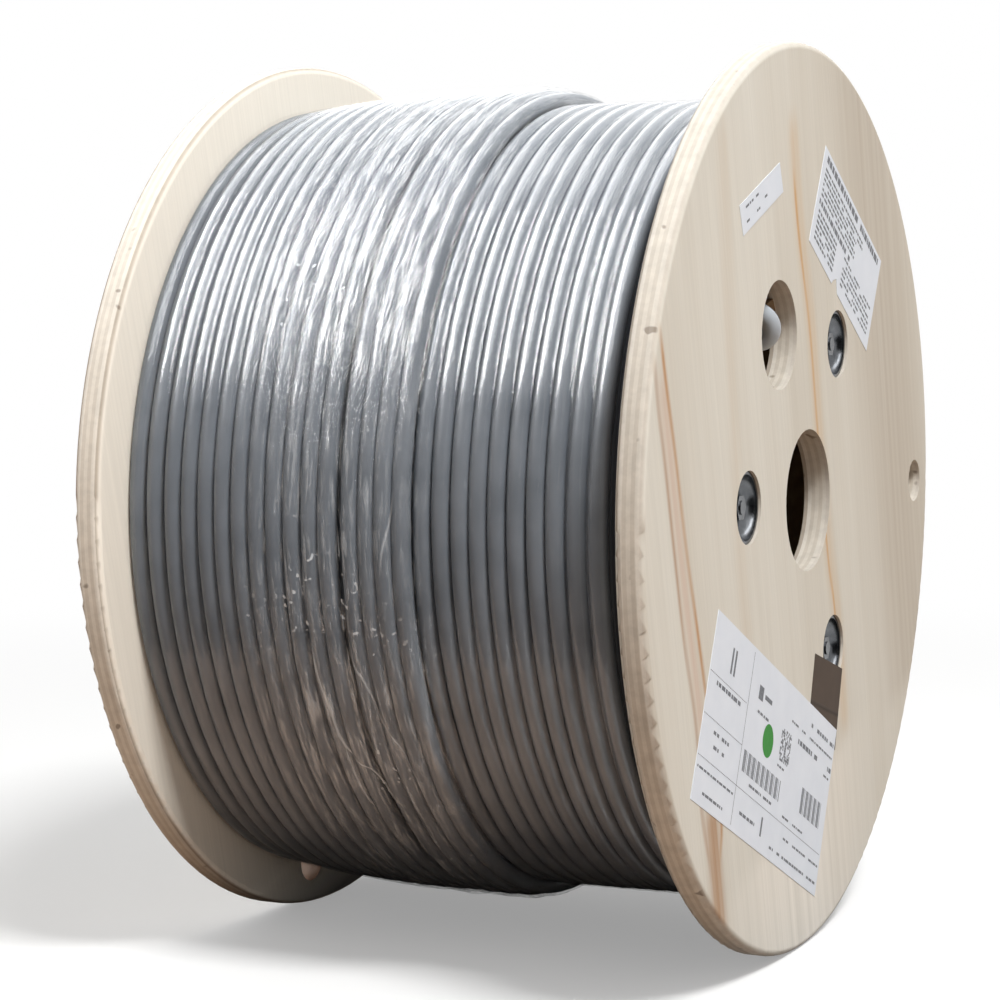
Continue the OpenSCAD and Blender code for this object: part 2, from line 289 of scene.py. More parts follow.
def mottled(tree, scale, detail, dark, pale, low=0.0, high=1.0):
    """Two tones that drift into each other, in about scale patches to the metre."""
    place = add_node(tree, "ShaderNodeTexCoord")
    cloud = add_node(tree, "ShaderNodeTexNoise", {
        "Vector": place.outputs["Object"], "Scale": scale, "Detail": detail})
    tint = add_node(tree, "ShaderNodeValToRGB", {0: cloud.outputs["Fac"]})
    for stop, spot, colour in zip(tint.color_ramp.elements, (low, high), (dark, pale)):
        stop.position = spot
        stop.color = paint(colour)
    return place, cloud, tint


# Fibrous brown, in flecks of about 5 mm
board, tree, shader = new_finish("wound_brown_board")
*_, tint = mottled(tree, 180.0, 5.0, "#5E4A33", "#8A7152")
tree.links.new(tint.outputs[0], shader.inputs["Base Color"])
shader.inputs["Roughness"].default_value = 0.85
wear(nodes["barrel"], board)

# Tie bolts, nuts and cup washers
# Pressed and rolled steel, zinc plated; the dished washers sit sunk in the plywood
# and spread the pull of the bolts that clamp the flanges on the barrel.
# Dull grey shine with spangle and handling marks a few millimetres across
zinc, tree, shader = new_finish("zinc_plated_steel")
_, cloud, tint = mottled(tree, 160.0, 2.0, "#515356", "#6E7073", 0.3, 0.7)
dull = add_node(tree, "ShaderNodeMapRange", {
    "Value": cloud.outputs["Fac"], "To Min": 0.2, "To Max": 0.3})
tree.links.new(tint.outputs[0], shader.inputs["Base Color"])
tree.links.new(dull.outputs[0], shader.inputs["Roughness"])
shader.inputs["Metallic"].default_value = 1.0
steel_kinds = ("tie_bolt_", "nut_", "cup_label_", "cup_far_")
steel_names = [kind + letter for letter in "abc" for kind in steel_kinds]
for name in steel_names:
    wear(nodes[name], zinc)

# Cable winding
# Grey data cable with an extruded plastic jacket, wound turn beside turn in nested
# layers; the last layer stops part of the way across, one cable thickness higher.
TURNS = 28
TOP_TURNS = 16
GAP_TURNS = 1
PITCH = 2 * INNER_FACE / TURNS
CABLE = PITCH / 2
RISE = PITCH * math.sqrt(3) / 2
FIRST = 92.0 + CABLE
LOW = FIRST + 11 * RISE
HIGH = LOW + RISE


def high_turn(j):
    """Axial place and radius of turn j of the top layer, in mm; a gap opens before turn 12."""
    sag = 6.0 * max(0.0, 1 - (j + 0.5) / 9) ** 2 + (1.4 if j == TOP_TURNS - 1 else 0.0)
    stray = 3.3 * (1 - math.exp(-j / 2)) if j < 12 else 5.6 - 0.9 * (j - 12)
    return -INNER_FACE + (j + 0.5) * PITCH + stray, HIGH - sag


def low_turn(j):
    """The same for turn j of the layer below, counted from the far flange."""
    stray = 0.9 * max(0, j - 24) - 2.6
    return -INNER_FACE + j * PITCH + stray, LOW - 0.1 * (j - TOP_TURNS)


def round_drum(x, radius, angle):
    """A point of the row frame, in metres, from a place on the drum in mm."""
    height = FLANGE_RADIUS + radius * math.sin(angle)
    return (x / 1000, radius * math.cos(angle) / 1000, height / 1000)


random.seed(7)
STEPS = 108
wound = bpy.data.curves.new("wound_cable", "CURVE")
wound.dimensions = "3D"
wound.bevel_depth = CABLE / 1000 * 0.985
wound.bevel_resolution = 4
for turn, first, last in ((low_turn, TOP_TURNS - 2, TURNS - GAP_TURNS), (high_turn, 0, TOP_TURNS)):
    for j in range(first, last):
        x, radius = turn(j)
        ring = wound.splines.new("POLY")
        ring.points.add(STEPS - 1)
        ring.use_cyclic_u = True
        shift = random.uniform(-0.25, 0.25)
        sway = random.uniform(0.1, 0.4)
        swell = random.uniform(0.05, 0.2)
        start = random.uniform(0, 6.28)
        for i, point in enumerate(ring.points):
            angle = 2 * math.pi * i / STEPS
            wave = math.sin(angle + start) + 0.5 * math.sin(3 * angle - start)
            drift = shift + sway * wave
            lift = swell * math.sin(2 * angle + 2 * start) - 0.15
            drift = max(-INNER_FACE + CABLE - x, min(INNER_FACE - CABLE - x, drift))
            point.co = (*round_drum(x + drift, radius + lift, angle), 1.0)
turns = bpy.data.objects.new("cable_turns", wound)
bpy.context.collection.objects.link(turns)
bpy.context.view_layer.objects.active = turns
turns.select_set(True)
bpy.ops.object.convert(target="MESH")
cable = bpy.context.object
cable.name = "wound_cable"
bpy.ops.object.select_all(action="DESELECT")

# Inner layers: a turned body with the end turns of every other layer standing out,
# stepped down by one layer beside the labelled flange, where the last layer lacks a turn
END_TURN = INNER_FACE - CABLE
ends = [(side * END_TURN, k) for side in (-1, 1) for k in range(0, 11, 2)]
ends.append((END_TURN - PITCH, 10))
rings = []
for x, k in ends:
    bpy.ops.mesh.primitive_torus_add(
        major_radius=(FIRST + k * RISE) / 1000, minor_radius=CABLE / 1000,
        major_segments=96, minor_segments=12,
        location=(x / 1000, 0, FLANGE_RADIUS / 1000), rotation=(0, math.pi / 2, 0))
    rings.append(bpy.context.object)
CORE, UNDER, WALL = LOW - 0.9, LOW - RISE + 0.2 * CABLE, 92.0
last_turn = low_turn(TURNS - GAP_TURNS - 1)[0]
reach = INNER_FACE - 0.8 * CABLE
core_middle = (last_turn - reach) / 2
bpy.ops.mesh.primitive_cylinder_add(
    vertices=128, radius=CORE / 1000, depth=(reach + last_turn) / 1000, end_fill_type="NOTHING",
    location=(core_middle / 1000, 0, FLANGE_RADIUS / 1000), rotation=(0, math.pi / 2, 0))
core = bpy.context.object
bpy.ops.object.mode_set(mode="EDIT")
bpy.ops.mesh.select_mode(type="EDGE")
far_steps = [(0.0, WALL)]
label_steps = [(CABLE, UNDER), (reach - last_turn - CABLE, UNDER), (0.0, WALL)]
for side, steps in ((-1, far_steps), (1, label_steps)):
    bpy.ops.mesh.select_all(action="DESELECT")
    bpy.ops.object.mode_set(mode="OBJECT")
    for edge in core.data.edges:
        edge.select = all(core.data.vertices[v].co.z * side > 0.09 for v in edge.vertices)
    bpy.ops.object.mode_set(mode="EDIT")
    was = CORE
    for move, radius in steps:
        bpy.ops.mesh.extrude_region_move(
            TRANSFORM_OT_translate={"value": (side * move / 1000, 0, 0)})
        bpy.ops.transform.resize(
            value=(1.0, radius / was, radius / was), center_override=(0, 0, FLANGE_RADIUS / 1000))
        was = radius
bpy.ops.mesh.select_all(action="DESELECT")
bpy.ops.object.mode_set(mode="OBJECT")
for piece in rings + [core, cable]:
    piece.select_set(True)
bpy.context.view_layer.objects.active = cable
bpy.ops.object.join()
bpy.ops.object.transform_apply(location=True, rotation=True, scale=True)
bpy.ops.object.shade_smooth_by_angle(angle=math.radians(50))
bpy.ops.object.select_all(action="DESELECT")

# Satin grey with a faint cloudiness of the compound, about 2 cm long
jacket, tree, shader = new_finish("extruded_grey_cable_jacket")
place, _, tint = mottled(tree, 45.0, 4.0, "#656B72", "#747A81", 0.3, 0.7)
# Painted shade: the turn left open beside the labelled flange is painted dark and given little sheen,
# for the deep shade it lies in
axes = add_node(tree, "ShaderNodeSeparateXYZ", {0: place.outputs["Object"]})
painted_shade_open_turn = add_node(tree, "ShaderNodeMapRange", {
    "Value": axes.outputs["X"],
    "From Min": last_turn / 1000 + 0.0028, "From Max": last_turn / 1000 + 0.0048})
tint = add_node(tree, "ShaderNodeMix", {
    "Factor": painted_shade_open_turn.outputs[0], 6: tint.outputs[0], 7: paint("#33353A")}, data_type="RGBA")
sheen = add_node(tree, "ShaderNodeMapRange", {
    "Value": painted_shade_open_turn.outputs[0], "To Min": 0.3, "To Max": 0.05})
tree.links.new(tint.outputs[2], shader.inputs["Base Color"])
tree.links.new(sheen.outputs[0], shader.inputs["Specular IOR Level"])
shader.inputs["Roughness"].default_value = 0.33
wear(cable, jacket)
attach(cable, "root")
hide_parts("cable_winding")

# Inner cable end
# The end that the winding was started from, pushed out in a short loop
# into the lead hole of the labelled flange.
# Painted light: a paler copy of the same jacket, for the brighter light on this end
lit_jacket_copy, tree, shader = new_finish("paler_lit_grey_cable_jacket")
*_, tint = mottled(tree, 60.0, 3.0, "#9BA2A9", "#ABB2B8")
tree.links.new(tint.outputs[0], shader.inputs["Base Color"])
shader.inputs["Roughness"].default_value = 0.3
wear(nodes["cable_inner_end"], lit_jacket_copy)

# Stretch film
# Clear polyethylene film a few hundredths of a millimetre thick, wound tight around
# the cable; it clings to the turns and gathers in upright creases around the middle.
ROUND = 232
ACROSS = 420
crests = [high_turn(j) for j in range(TOP_TURNS)] + [
    low_turn(j) for j in range(TOP_TURNS + 1, TURNS - GAP_TURNS)]


def film_height(x):
    """Radius of the film: round over each turn, bridging the groove to the next."""
    if x <= crests[0][0]:
        return crests[0][1] + CABLE
    for (xa, ra), (xb, rb) in zip(crests, crests[1:]):
        if x <= xb:
            t = (x - xa) / (xb - xa)
            crest = max(
                r + math.sqrt(max(0.0, CABLE ** 2 - (x - at) ** 2)) for at, r in ((xa, ra), (xb, rb)))
            bridge = ra + (rb - ra) * t + CABLE - 1.5 + 0.5 * (2 * t - 1) ** 2
            return max(crest, bridge)
    over = min(x - crests[-1][0], 0.95 * CABLE)
    return crests[-1][1] + math.sqrt(CABLE ** 2 - over ** 2)


LEFT_EDGE, RIGHT_EDGE = -INNER_FACE + 0.3, last_turn + 0.95 * CABLE
bpy.ops.mesh.primitive_grid_add(x_subdivisions=ROUND, y_subdivisions=ACROSS, size=2)
film = bpy.context.object
film.name = "stretch_film_wrap"
for vertex in film.data.vertices:
    around, across = vertex.co.x, vertex.co.y
    angle = math.pi * around
    x = LEFT_EDGE + (across + 1) / 2 * (RIGHT_EDGE - LEFT_EDGE)
    gather = math.exp(-((x + 18) / 38) ** 4)
    spot = Vector((x * 0.2, math.cos(angle) * 4.2, math.sin(angle) * 4.2))
    crease = abs(noise.noise(spot)) + 0.5 * abs(noise.noise(spot * 2.1 + Vector((7, 3, 1))))
    pleat = abs(noise.noise(Vector((x * 0.55, math.cos(angle) * 9, math.sin(angle) * 9))))
    lift = 0.3 + gather * (0.2 + 1.5 * crease + 0.5 * pleat)
    vertex.co = round_drum(x, film_height(x) + lift, angle)
bpy.ops.object.mode_set(mode="EDIT")
bpy.ops.mesh.select_all(action="SELECT")
bpy.ops.mesh.remove_doubles(threshold=0.00002)
bpy.ops.mesh.normals_make_consistent(inside=False)
bpy.ops.object.mode_set(mode="OBJECT")
bpy.ops.object.shade_smooth()
bpy.ops.object.select_all(action="DESELECT")

clear_film, tree, shader = new_finish("clear_stretch_film")
place = add_node(tree, "ShaderNodeTexCoord")
axes = add_node(tree, "ShaderNodeSeparateXYZ", {0: place.outputs["Object"]})
upright = add_node(tree, "ShaderNodeMapping", {
    "Vector": place.outputs["Object"], "Scale": (600, 55, 55)})
creases = add_node(tree, "ShaderNodeTexNoise", {
    "Vector": upright.outputs[0], "Scale": 1.0, "Detail": 4.0, "Roughness": 0.68})
# Where several wraps cross and bunch, between 60 mm left and 30 mm right of the middle
bunch = add_node(tree, "ShaderNodeMath", {0: axes.outputs["X"], 1: 0.018}, operation="ADD")
bunch = add_node(tree, "ShaderNodeMath", {0: bunch.outputs[0]}, operation="ABSOLUTE")
bunch = add_node(tree, "ShaderNodeMapRange", {
    "Value": bunch.outputs[0], "From Min": 0.012, "From Max": 0.055, "To Min": 1.0, "To Max": 0.12},
    interpolation_type="SMOOTHSTEP")
ridge = add_node(tree, "ShaderNodeMapRange", {
    "Value": creases.outputs["Fac"], "From Min": 0.5, "From Max": 0.66,
    "To Min": 0.0, "To Max": 0.24})
haze_and_glints = add_node(tree, "ShaderNodeMath", {
    0: bunch.outputs[0], 1: ridge.outputs[0]}, operation="MULTIPLY")
# Long folds that run aside over the lower front, drawn as lighter milky lines; their lightness is
# partly a painted highlight for the glint along each fold. Each has its half width in metres,
# strength, span, and the line itself as degrees from the foremost height of the drum and metres from
# its middle
folds = [
    (0.001, 0.5, (-43, -15), [
        (-90, -0.002), (-43, -0.003), (-41, -0.006), (-36, -0.0119), (-31, -0.0222),
        (-25, -0.0236), (-18.8, -0.0259), (90, -0.027)]),
    (0.0007, 0.4, (-46, -29), [
        (-90, -0.015), (-44.4, -0.0194), (-39.3, -0.022), (-35.2, -0.0224), (-31, -0.0222),
        (90, -0.022)]),
    (0.0009, 0.35, (-40, -14), [
        (-90, 0.012), (-39, 0.0082), (-32.7, 0.0051), (-25.4, -0.0018), (-20.7, -0.0054),
        (-17.6, -0.0086), (90, -0.01)]),
    (0.0008, 0.3, (-8, 4), [(-90, 0.01), (-8, 0.008), (4, 0.014), (90, 0.016)]),
]
raised = add_node(tree, "ShaderNodeMath", {
    0: axes.outputs["Z"], 1: -FLANGE_RADIUS / 1000}, operation="ADD")
ahead = add_node(tree, "ShaderNodeMath", {0: axes.outputs["Y"], 1: -1.0}, operation="MULTIPLY")
around = add_node(tree, "ShaderNodeMath", {
    0: raised.outputs[0], 1: ahead.outputs[0]}, operation="ARCTAN2")
around = add_node(tree, "ShaderNodeMath", {0: around.outputs[0]}, operation="DEGREES")
for width, strength, span, line in folds:
    mark = stroke(tree, around.outputs[0], axes.outputs["X"], (90.0, 0.05),
                  line, width, strength, span, 4.0)
    haze_and_glints = add_node(tree, "ShaderNodeMath", {0: haze_and_glints.outputs[0], 1: mark}, operation="ADD")
bump = add_node(tree, "ShaderNodeBump", {
    "Height": creases.outputs["Fac"], "Strength": bunch.outputs[0], "Distance": 0.0026})
# Painted highlights: small white specks, about a millimetre across, in loose patches, for the glints
# of crumpled film
painted_glints = add_node(tree, "ShaderNodeTexNoise", {
    "Vector": place.outputs["Object"], "Scale": 420.0, "Detail": 0.0})
painted_glints = add_node(tree, "ShaderNodeMapRange", {
    "Value": painted_glints.outputs["Fac"], "From Min": 0.72, "From Max": 0.78,
    "To Min": 0.0, "To Max": 0.6})
patch = add_node(tree, "ShaderNodeTexNoise", {
    "Vector": place.outputs["Object"], "Scale": 22.0, "Detail": 1.0})
patch = add_node(tree, "ShaderNodeMapRange", {
    "Value": patch.outputs["Fac"], "From Min": 0.56, "From Max": 0.66})
painted_glints = add_node(tree, "ShaderNodeMath", {
    0: painted_glints.outputs[0], 1: patch.outputs[0]}, operation="MULTIPLY")
painted_glints = add_node(tree, "ShaderNodeMath", {
    0: painted_glints.outputs[0], 1: bunch.outputs[0]}, operation="MULTIPLY")
haze_and_glints = add_node(tree, "ShaderNodeMath", {0: haze_and_glints.outputs[0], 1: painted_glints.outputs[0]}, operation="ADD")
gloss = add_node(tree, "ShaderNodeBsdfGlossy", {"Roughness": 0.04, "Normal": bump.outputs[0]})
# A thin sheet mirrors alike from both sides: a little face on, more in patches
# where several wraps lie, and most at a glance
facing = add_node(tree, "ShaderNodeLayerWeight", {"Blend": 0.5, "Normal": bump.outputs[0]})
glance = add_node(tree, "ShaderNodeMath", {0: facing.outputs["Facing"], 1: 5.0}, operation="POWER")
patchy = add_node(tree, "ShaderNodeMapRange", {
    "Value": creases.outputs["Fac"], "From Min": 0.48, "From Max": 0.64,
    "To Min": 0.03, "To Max": 0.2})
face_on = add_node(tree, "ShaderNodeMapRange", {
    "Value": bunch.outputs[0], "To Min": 0.028, "To Max": patchy.outputs[0]})
mirror = add_node(tree, "ShaderNodeMapRange", {
    "Value": glance.outputs[0], "To Min": face_on.outputs[0], "To Max": 0.3})
see_through = add_node(tree, "ShaderNodeBsdfTransparent")
film_mix = add_node(tree, "ShaderNodeMixShader", {
    0: mirror.outputs[0], 1: see_through.outputs[0], 2: gloss.outputs[0]})
shader.inputs["Base Color"].default_value = paint("#E9EDF0")
shader.inputs["Roughness"].default_value = 0.3
film_mix = add_node(tree, "ShaderNodeMixShader", {
    0: haze_and_glints.outputs[0], 1: film_mix.outputs[0], 2: shader.outputs[0]})
# So thin a film casts no shadow that the eye could tell on the cable under it
rays = add_node(tree, "ShaderNodeLightPath")
film_mix = add_node(tree, "ShaderNodeMixShader", {
    0: rays.outputs["Is Shadow Ray"], 1: film_mix.outputs[0], 2: see_through.outputs[0]})
tree.links.new(film_mix.outputs[0], tree.nodes["Material Output"].inputs["Surface"])
wear(film, clear_film)
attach(film, "root")
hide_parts("stretch_film")

# Labels
# Three white coated paper stickers on the flange, the largest ruled like a form.
# Their print stands for itself as plain rules, bars and dashes.
# Cool white with a low gloss, barely mottled
paper, tree, shader = new_finish("coated_white_label_paper")
*_, tint = mottled(tree, 90.0, 3.0, "#D2D9E3", "#DFE5ED")
tree.links.new(tint.outputs[0], shader.inputs["Base Color"])
shader.inputs["Roughness"].default_value = 0.45
for name in ("label_large", "label_medium", "label_small"):
    wear(nodes[name], paper)

# Grey rather than black, and uneven from one millimetre to the next
ink, tree, shader = new_finish("grey_black_thermal_print")
*_, tint = mottled(tree, 900.0, 2.0, "#55585E", "#878B92")
tree.links.new(tint.outputs[0], shader.inputs["Base Color"])
shader.inputs["Roughness"].default_value = 0.5
shader.inputs["Specular IOR Level"].default_value = 0.1

# Flat mid green
green_ink, tree, shader = new_finish("flat_green_print")
*_, tint = mottled(tree, 500.0, 2.0, "#1F7A1B", "#2C8927")
tree.links.new(tint.outputs[0], shader.inputs["Base Color"])
shader.inputs["Roughness"].default_value = 0.45
shader.inputs["Specular IOR Level"].default_value = 0.1

# Middle from the axis, turn in degrees, and length and height of each label, in mm
LARGE_LABEL = ((-52, -108.7), -24, (177, 78))
MEDIUM_LABEL = ((54, 111.6), -28.5, (102, 49))
SMALL_LABEL = ((-67, 129.2), 22.2, (55, 13))
OUTER_FACE = 126.0
PAPER = 0.2
PRINT_AT = OUTER_FACE + PAPER + 0.03


def printed(name, middle, turn, size, bars):
    """One mesh of flat bars: each is left, top, right, bottom in mm on its label."""
    bpy.ops.object.select_all(action="DESELECT")
    for i, (left, top, far, low) in enumerate(bars):
        spot = Vector(((left + far) / 2 - size[0] / 2, size[1] / 2 - (top + low) / 2, 0)) / 1000
        bpy.ops.mesh.primitive_plane_add(size=0.001, location=spot)
        if i == 0:
            sheet = bpy.context.object
            bpy.ops.object.transform_apply(location=True, rotation=True, scale=True)
            bpy.ops.object.mode_set(mode="EDIT")
            bpy.ops.mesh.select_all(action="SELECT")
        bpy.ops.transform.resize(value=(far - left, low - top, 1), center_override=spot)
    bpy.ops.mesh.select_all(action="SELECT")
    bpy.ops.transform.rotate(value=-math.radians(turn), orient_axis="Z", center_override=(0, 0, 0))
    bpy.ops.object.mode_set(mode="OBJECT")
    stand_up = Matrix(((0, 0, 1, PRINT_AT / 1000), (1, 0, 0, middle[0] / 1000),
                       (0, 1, 0, (middle[1] + FLANGE_RADIUS) / 1000), (0, 0, 0, 1)))
    sheet.data.transform(stand_up)
    sheet.name = name
    wear(sheet, ink)
    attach(sheet, "root")
    bpy.ops.object.select_all(action="DESELECT")
    return sheet


def dashes(left, far, top, tall, share=0.8):
    """A line of short dashes, as small print reads from a distance."""
    out = []
    spot = left
    while spot < far:
        wide = min(random.uniform(1.2, 5.0), far - spot)
        if random.random() < share and wide > 0.5:
            out.append((spot, top, spot + wide, top + tall))
        spot += wide + random.uniform(0.5, 1.2)
    return out


def stripes(left, top, far, low):
    """Upright stripes in uneven groups."""
    out = []
    spot = left
    while spot < far - 0.8:
        for wide, step in ((0.9, 1.2), (0.9, 1.2), (0.9, 2.0), (0.5, random.choice((1.5, 2.1)))):
            if spot < far - wide:
                out.append((spot, top, spot + wide, low))
            spot += step
    return out


def dotted(left, far, top):
    """A dotted rule."""
    step = 1.6
    starts = [left + step * i for i in range(int((far - left) / step))]
    return [(spot, top, spot + 1.0, top + 0.4) for spot in starts]


random.seed(21)
bars = [(50.3, 2, 50.7, 76)] + dotted(1, 50, 24.6) + dotted(1, 52, 42.1) + dotted(1, 176, 59.1)
bars += [
    (23.5, 8.5, 25.5, 19.5), (27.5, 8.5, 29.5, 19.5), (62.5, 12.5, 68.5, 18.5),
    (71, 14.5, 81, 16.5), (88.3, 63.2, 90.3, 71.5)]
bars += dashes(10, 42, 26.6, 1.8) + dashes(15, 36, 46, 1.5) + dashes(17, 34, 51.6, 1.5)
bars += dashes(2, 48, 63.2, 1.0) + dashes(12, 38, 72, 1.2) + dashes(56, 80, 68, 1.4)
bars += dashes(116, 175, 64.4, 1.0) + dashes(100, 175, 72.2, 1.2) + dashes(115, 146, 55.8, 1.0)
bars += dashes(139, 176, 7.6, 1.8) + dashes(111, 175, 14, 1.0)
bars += dashes(123, 176, 19.2, 2.2) + dashes(163, 174, 24, 1.0)
bars += dashes(66, 98, 54.6, 1.2) + dashes(99, 118, 37, 1.0) + dashes(64, 80, 23, 1.2)
bars += stripes(54.5, 42.8, 108, 52) + stripes(138, 37.3, 169.5, 49)
for row in range(12):
    for column in range(12):
        if random.random() < 0.5:
            bars.append((99.5 + 1.2 * column, 20.6 + 1.2 * row,
                         100.6 + 1.2 * column, 21.7 + 1.2 * row))
printed("label_large_print", *LARGE_LABEL, bars)

bars = dashes(5, 97, 2.0, 3.4, 0.95) + dashes(4, 58, 24.5, 2.6, 0.95)
for i in range(6):
    bars += dashes(5, 72 if i < 2 else 62, 8.2 + 2.6 * i, 1.3, 0.95)
for i in range(6):
    bars += dashes(49, 97, 28.5 + 2.7 * i, 1.2, 0.9) + dashes(5, 36, 29.5 + 2.7 * i, 1.4, 0.95)
printed("label_medium_print", *MEDIUM_LABEL, bars)

bars = dashes(7, 24, 2.6, 1.0) + dashes(31, 44, 6.6, 1.0) + dashes(6, 24, 8.6, 1.0)
printed("label_small_print", *SMALL_LABEL, bars)

# Green dot on the large label, in its place from the label's upper left corner
DOT_AT, DOT_RADIUS = (82.5, 31.6), 7.2
middle, turn, size = LARGE_LABEL
turn = math.radians(turn)
right, up = DOT_AT[0] - size[0] / 2, size[1] / 2 - DOT_AT[1]
spot = Vector((PRINT_AT, middle[0] + right * math.cos(turn) - up * math.sin(turn),
               FLANGE_RADIUS + middle[1] + right * math.sin(turn) + up * math.cos(turn)))
bpy.ops.mesh.primitive_circle_add(
    vertices=64, radius=DOT_RADIUS / 1000, fill_type="NGON",
    location=spot / 1000, rotation=(0, math.pi / 2, 0))
dot = bpy.context.object
bpy.ops.object.mode_set(mode="EDIT")
bpy.ops.mesh.select_all(action="SELECT")
bpy.ops.mesh.inset(thickness=0.0006)
bpy.ops.object.mode_set(mode="OBJECT")
dot.name = "label_large_dot"
bpy.ops.object.transform_apply(location=True, rotation=True, scale=True)
wear(dot, green_ink)
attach(dot, "root")
bpy.ops.object.select_all(action="DESELECT")

# Brown tape
# A patch of brown packing tape from the large label to the nearest bolt recess,
# stuck flat on the plywood by its own glue.
# Dark brown, smeared where the glue took unevenly, and nearly without gloss from this side
tape, tree, shader = new_finish("brown_packing_tape")
place, _, tint = mottled(tree, 70.0, 4.0, "#41342A", "#504236")
# One crease across the patch, under its middle, painted darker along it as painted shade
on_tape = add_node(tree, "ShaderNodeMapping", {
    "Vector": place.outputs["Object"], "Scale": (1000, 1000, 1000),
    "Location": (0, -26.8, -FLANGE_RADIUS + 93.8)})
on_tape = add_node(tree, "ShaderNodeMapping", {
    "Vector": on_tape.outputs[0], "Rotation": (math.radians(16), 0, 0), "Location": (0, 0, 2.7)})
axes = add_node(tree, "ShaderNodeSeparateXYZ", {0: on_tape.outputs[0]})
off = add_node(tree, "ShaderNodeMath", {0: axes.outputs["Z"]}, operation="ABSOLUTE")
crease = add_node(tree, "ShaderNodeMapRange", {
    "Value": off.outputs[0], "From Min": 0.2, "From Max": 1.3, "To Min": 0.7, "To Max": 0.0})
tint = add_node(tree, "ShaderNodeMix", {
    "Factor": crease.outputs[0], 6: tint.outputs[0], 7: paint("#2E241C")}, data_type="RGBA")
fold = add_node(tree, "ShaderNodeBump", {
    "Height": crease.outputs[0], "Strength": 0.4, "Distance": 0.0005})
tree.links.new(fold.outputs[0], shader.inputs["Normal"])
tree.links.new(tint.outputs[2], shader.inputs["Base Color"])
shader.inputs["Roughness"].default_value = 0.5
shader.inputs["Specular IOR Level"].default_value = 0.05
wear(nodes["brown_tape"], tape)

# Studio
# A plain pale floor that runs out into white, one soft key box above and to the right,
# a dim surround for fill, and cards that show only in the gloss of the pieces.


def shown_rays(tree):
    """One for a ray that shows its surface to the camera, straight or by way of gloss or glass."""
    rays = add_node(tree, "ShaderNodeLightPath")
    seen = add_node(tree, "ShaderNodeMath", {
        0: rays.outputs["Is Camera Ray"], 1: rays.outputs["Is Glossy Ray"]}, operation="MAXIMUM")
    seen = add_node(tree, "ShaderNodeMath", {
        0: seen.outputs[0], 1: rays.outputs["Is Transmission Ray"]}, operation="MAXIMUM")
    return seen.outputs[0]


def show_in_gloss(piece):
    """Keeps a card of the stage out of sight, save in reflections."""
    for ray in ("camera", "diffuse", "shadow", "transmission"):
        setattr(piece, "visible_" + ray, False)


floor_finish, tree, shader = new_finish("pale_studio_floor")
place = add_node(tree, "ShaderNodeTexCoord")
away = add_node(tree, "ShaderNodeVectorMath", {0: place.outputs["Object"]}, operation="LENGTH")
fade = add_node(tree, "ShaderNodeMapRange", {
    "Value": away.outputs["Value"], "From Min": 0.4, "From Max": 1.5, "To Min": 0.3, "To Max": 1.0},
    interpolation_type="SMOOTHSTEP")
pale = add_node(tree, "ShaderNodeBsdfDiffuse", {"Color": paint("#FAFAF9")})
white = add_node(tree, "ShaderNodeEmission", {"Color": (1, 1, 1, 1), "Strength": 1.0})
shown = add_node(tree, "ShaderNodeMixShader", {
    0: fade.outputs[0], 1: pale.outputs[0], 2: white.outputs[0]})
# Painted shade: for light that bounces off it, the floor is warm brown, painted dark close under the
# drum
painted_shade_under_drum = add_node(tree, "ShaderNodeMapRange", {
    "Value": away.outputs["Value"], "From Min": 0.1, "From Max": 0.26})
bounce = add_node(tree, "ShaderNodeMix", {
    "Factor": painted_shade_under_drum.outputs[0], 6: paint("#1C1511"), 7: paint("#9A826E")}, data_type="RGBA")
tree.links.new(bounce.outputs[2], shader.inputs["Base Color"])
shader.inputs["Roughness"].default_value = 0.95
shader.inputs["Specular IOR Level"].default_value = 0.0
ground = add_node(tree, "ShaderNodeMixShader", {
    0: shown_rays(tree), 1: shader.outputs[0], 2: shown.outputs[0]})
tree.links.new(ground.outputs[0], tree.nodes["Material Output"].inputs["Surface"])
bpy.ops.mesh.primitive_plane_add(size=60, location=(0, 0, 0))
floor = bpy.context.object
floor.name = "studio_floor"
wear(floor, floor_finish)

# A dark flag in front, seen only in reflections, keeps the cable and film from washing out
flag_finish, tree, shader = new_finish("dark_studio_flag")
*_, tint = mottled(tree, 40.0, 2.0, "#17191B", "#222528")
tree.links.new(tint.outputs[0], shader.inputs["Base Color"])
shader.inputs["Roughness"].default_value = 1.0
shader.inputs["Specular IOR Level"].default_value = 0.0
bpy.ops.mesh.primitive_plane_add(size=1, location=(-0.3, -0.9575, 0.002))
flag = bpy.context.object
flag.name = "dark_flag"
bpy.ops.object.mode_set(mode="EDIT")
bpy.ops.transform.resize(value=(5.0, 1.285, 1), center_override=(-0.3, -0.9575, 0.002))
bpy.ops.mesh.select_all(action="DESELECT")
bpy.ops.object.mode_set(mode="OBJECT")
for edge in flag.data.edges:
    edge.select = all(flag.data.vertices[v].co.y < 0 for v in edge.vertices)
bpy.ops.object.mode_set(mode="EDIT")
bpy.ops.mesh.select_mode(type="EDGE")
bpy.ops.mesh.extrude_region_move(TRANSFORM_OT_translate={"value": (0, 0, 1.15)})
bpy.ops.object.mode_set(mode="OBJECT")
bpy.ops.object.transform_apply(location=True, rotation=True, scale=True)
wear(flag, flag_finish)
show_in_gloss(flag)
bpy.ops.object.select_all(action="DESELECT")

